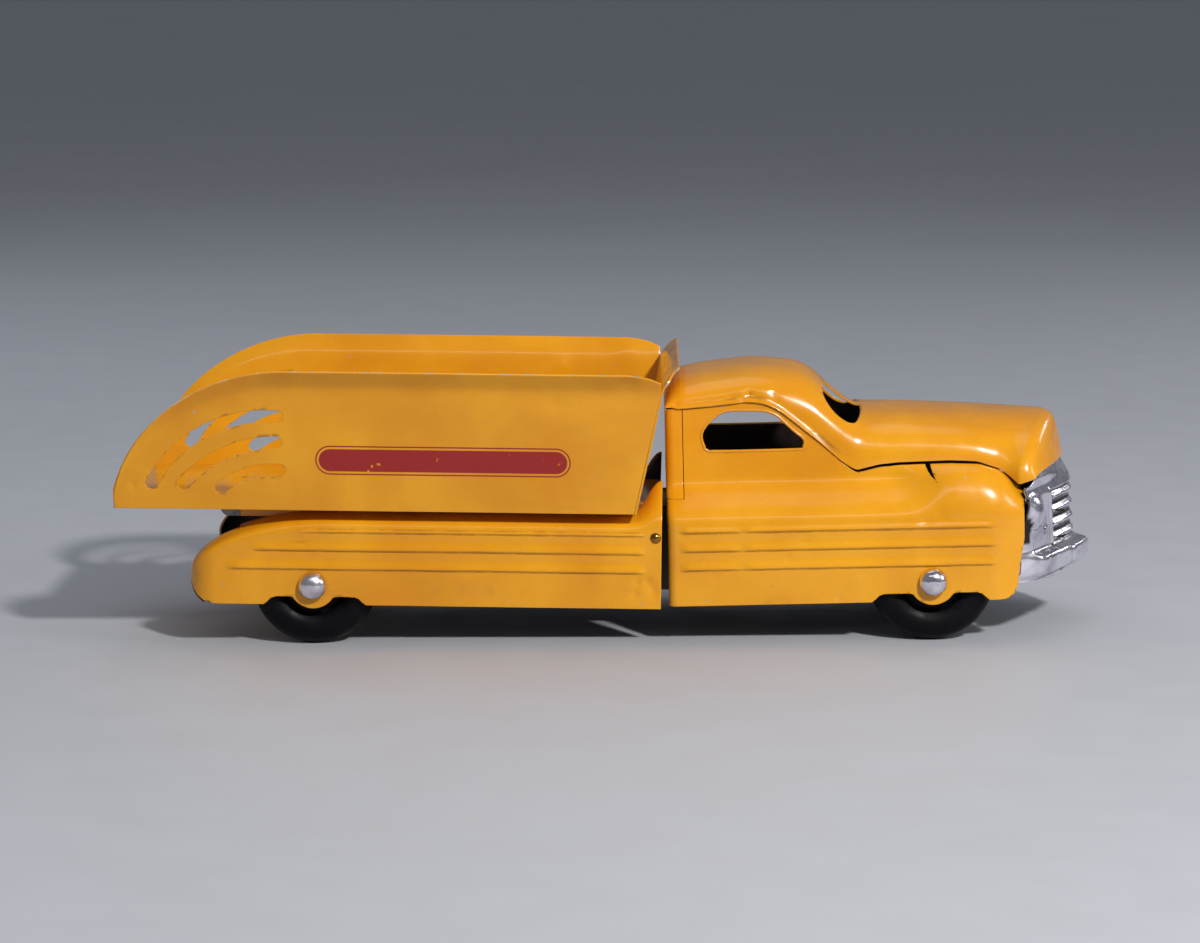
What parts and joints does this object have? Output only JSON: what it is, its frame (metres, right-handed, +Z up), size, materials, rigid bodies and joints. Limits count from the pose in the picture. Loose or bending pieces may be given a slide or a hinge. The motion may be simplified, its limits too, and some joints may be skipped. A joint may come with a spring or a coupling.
{
  "type": "toy dump truck",
  "caption": "Pressed-metal toy dump truck with a rounded cab, ribbed skirts and a flared open bed that tips on a rear hinge.",
  "frame": {"origin": "centre of the bounding box in plan, on the ground under the wheels", "axes": "+X towards the bumper, +Y to the truck's left, +Z up"},
  "size_m": [0.3464, 0.117, 0.0992],
  "materials": {
    "enamel": "glossy baked enamel, worn at the edges",
    "plated": "bright nickel plate, slightly wrinkled",
    "bare_steel": "dull mill finish",
    "black_rubber": "smooth, semi-gloss",
    "inner_black": "dark dipped coat"
  },
  "bodies": {
    "chassis": {"rear_shell": "enamel", "frame_channel": "inner_black", "cab_channel": "inner_black", "cross_pin": "plated", "cab_side_right": "enamel", "cab_side_left": "enamel", "roof_and_hood": "enamel", "cab_back": "enamel", "grille_and_bumper": "plated", "deck_lugs": "bare_steel", "deck_lug_rivets": "plated", "hinge_pin": "plated"},
    "bed": {"bed_tub": "enamel", "bed_front": "enamel", "bed_lugs": "bare_steel", "bed_lug_rivets": "plated"},
    "front_axle_set": {"front_axle": "bare_steel", "front_axle_caps": "plated", "front_axle_spacer": "bare_steel"},
    "rear_axle_set": {"rear_axle": "bare_steel", "rear_axle_caps": "plated", "rear_axle_spacer": "bare_steel"},
    "front_wheel_r": {"front_wheel_right": "black_rubber"},
    "front_wheel_l": {"front_wheel_left": "black_rubber"},
    "rear_wheel_r": {"rear_wheel_right": "black_rubber"},
    "rear_wheel_l": {"rear_wheel_left": "black_rubber"}
  },
  "joints": [
    {"name": "bed_tip", "type": "hinge", "parent": "chassis", "child": "bed", "pos_m": [-0.13604, 0, 0.04621], "axis": [0, -1, 0], "range_deg": [0, 45]},
    {"name": "front_axle_spin", "type": "hinge", "parent": "chassis", "child": "front_axle_set", "pos_m": [0.113, 0, 0.022], "axis": [0, 1, 0], "continuous": true},
    {"name": "rear_axle_spin", "type": "hinge", "parent": "chassis", "child": "rear_axle_set", "pos_m": [-0.1044, 0, 0.022], "axis": [0, 1, 0], "continuous": true},
    {"name": "front_wheel_r_spin", "type": "hinge", "parent": "front_axle_set", "child": "front_wheel_r", "pos_m": [0.113, -0.038, 0.022], "axis": [0, 1, 0], "continuous": true},
    {"name": "front_wheel_l_spin", "type": "hinge", "parent": "front_axle_set", "child": "front_wheel_l", "pos_m": [0.113, 0.038, 0.022], "axis": [0, 1, 0], "continuous": true},
    {"name": "rear_wheel_r_spin", "type": "hinge", "parent": "rear_axle_set", "child": "rear_wheel_r", "pos_m": [-0.1044, -0.038, 0.022], "axis": [0, 1, 0], "continuous": true},
    {"name": "rear_wheel_l_spin", "type": "hinge", "parent": "rear_axle_set", "child": "rear_wheel_l", "pos_m": [-0.1044, 0.038, 0.022], "axis": [0, 1, 0], "continuous": true}
  ]
}
